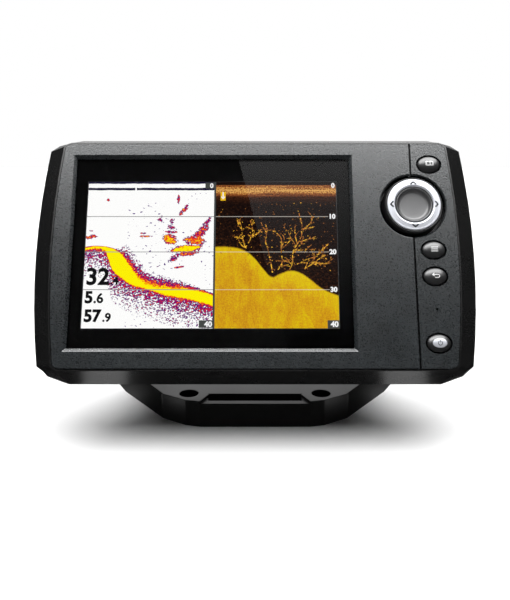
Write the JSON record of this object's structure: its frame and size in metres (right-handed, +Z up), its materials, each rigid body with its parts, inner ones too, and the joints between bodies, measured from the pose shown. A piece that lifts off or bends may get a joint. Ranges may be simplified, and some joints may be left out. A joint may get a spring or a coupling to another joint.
{
  "type": "chartplotter display",
  "caption": "Wide tilting marine chartplotter display with a flat screen, key column and round rocker, held by side knobs on a low deck bracket.",
  "frame": {"origin": "middle of the bracket's underside, on the deck", "axes": "+Z up from the deck, +X to the right of a person who reads the screen, the screen faces -Y"},
  "size_m": [0.19, 0.0852, 0.1283],
  "materials": {
    "fascia": "fine spark-eroded grain, dark charcoal",
    "black_plastic": "satin black moulded plastic",
    "lens_glass": "flat bonded cover glass with a black border",
    "picture": "colour liquid crystal panel",
    "tray": "folded sheet",
    "diffuser": "white light guide",
    "key_plastic": "satin dark grey caps",
    "silver_plastic": "satin silver finish",
    "dish_plastic": "satin mid grey",
    "rubber": "soft black",
    "board": "green solder mask",
    "chip": "moulded package",
    "ceramic": "fired ceramic patch",
    "brass": "turned, plated",
    "steel": "stainless",
    "clear_plastic": "clear light guide"
  },
  "bodies": {
    "bracket": {"bracket": "black_plastic"},
    "display": {"front_bezel": "black_plastic", "screen_fascia": "fascia", "keypad_fascia": "fascia", "lens": "lens_glass", "lens_gasket": "rubber", "lcd_panel": "picture", "backlight": "diffuser", "lcd_tray": "tray", "rubber_keypad": "rubber", "keypad_board": "board", "light_pipe": "clear_plastic", "main_board": "board", "shield_can": "tray", "processor": "chip", "gps_antenna": "ceramic", "power_coil": "chip", "beeper": "chip", "lcd_flex": "brass", "rear_case": "black_plastic", "case_screw_1": "steel", "case_screw_2": "steel", "case_screw_3": "steel", "case_screw_4": "steel", "case_screw_5": "steel", "case_screw_6": "steel", "case_screw_7": "steel", "case_screw_8": "steel", "case_seal": "rubber", "vent_plug": "rubber", "power_socket": "black_plastic", "power_contact_block": "diffuser", "power_pins": "brass", "sonar_socket": "black_plastic", "sonar_contact_block": "diffuser", "sonar_pins": "brass", "card_reader": "tray", "left_pivot_insert": "brass", "left_friction_washer": "rubber", "right_pivot_insert": "brass", "right_friction_washer": "rubber"},
    "view_key": {"view_key": "key_plastic"},
    "menu_key": {"menu_key": "key_plastic"},
    "exit_key": {"exit_key": "key_plastic"},
    "power_key": {"power_key": "key_plastic", "power_badge": "silver_plastic"},
    "nav_pivot": {"nav_pivot": "steel"},
    "nav_rocker": {"nav_rocker": "black_plastic", "nav_ring": "silver_plastic", "nav_dish": "dish_plastic"},
    "left_clamp": {"left_knob_washer": "steel"},
    "left_knob": {"left_knob": "black_plastic", "left_knob_stud": "steel"},
    "right_clamp": {"right_knob_washer": "steel"},
    "right_knob": {"right_knob": "black_plastic", "right_knob_stud": "steel"},
    "card_door": {"card_door": "rubber"}
  },
  "joints": [
    {"name": "display_tilt", "type": "hinge", "parent": "bracket", "child": "display", "pos_m": [0, -0.0093, 0.0704], "axis": [-1, 0, 0], "range_deg": [-24, 35]},
    {"name": "view_press", "type": "slide", "parent": "display", "child": "view_key", "axis": [0, 0.9092, -0.4163], "range_m": [0, 0.0008], "stiffness_N_per_m": 1500},
    {"name": "menu_press", "type": "slide", "parent": "display", "child": "menu_key", "axis": [0, 0.9092, -0.4163], "range_m": [0, 0.0008], "stiffness_N_per_m": 1500},
    {"name": "exit_press", "type": "slide", "parent": "display", "child": "exit_key", "axis": [0, 0.9092, -0.4163], "range_m": [0, 0.0008], "stiffness_N_per_m": 1500},
    {"name": "power_press", "type": "slide", "parent": "display", "child": "power_key", "axis": [0, 0.9092, -0.4163], "range_m": [0, 0.0008], "stiffness_N_per_m": 1500},
    {"name": "nav_up_down", "type": "hinge", "parent": "display", "child": "nav_pivot", "pos_m": [0.068, -0.02019, 0.09826], "axis": [1, 0, 0], "range_deg": [-2.5, 2.5], "stiffness_Nm_per_rad": 0.45},
    {"name": "nav_left_right", "type": "hinge", "parent": "nav_pivot", "child": "nav_rocker", "pos_m": [0.068, -0.02019, 0.09826], "axis": [0, 0.4163, 0.9092], "range_deg": [-2.5, 2.5], "stiffness_Nm_per_rad": 0.45},
    {"name": "left_clamp_slide", "type": "slide", "parent": "display", "child": "left_clamp", "axis": [-1, 0, 0], "range_m": [0, 0.004]},
    {"name": "left_knob_turn", "type": "hinge", "parent": "left_clamp", "child": "left_knob", "pos_m": [-0.077, -0.0093, 0.0704], "axis": [-1, 0, 0], "range_deg": [0, 1440]},
    {"name": "right_clamp_slide", "type": "slide", "parent": "display", "child": "right_clamp", "axis": [1, 0, 0], "range_m": [0, 0.004]},
    {"name": "right_knob_turn", "type": "hinge", "parent": "right_clamp", "child": "right_knob", "pos_m": [0.077, -0.0093, 0.0704], "axis": [1, 0, 0], "range_deg": [0, 1440]},
    {"name": "card_door_hinge", "type": "hinge", "parent": "display", "child": "card_door", "pos_m": [-0.03, 0.01911, 0.06542], "axis": [-1, 0, 0], "range_deg": [0, 100]}
  ],
  "couplings": [
    {"joint": "left_knob_turn", "follows": "left_clamp_slide", "rad_per_m": 6283.2},
    {"joint": "right_knob_turn", "follows": "right_clamp_slide", "rad_per_m": 6283.2}
  ]
}
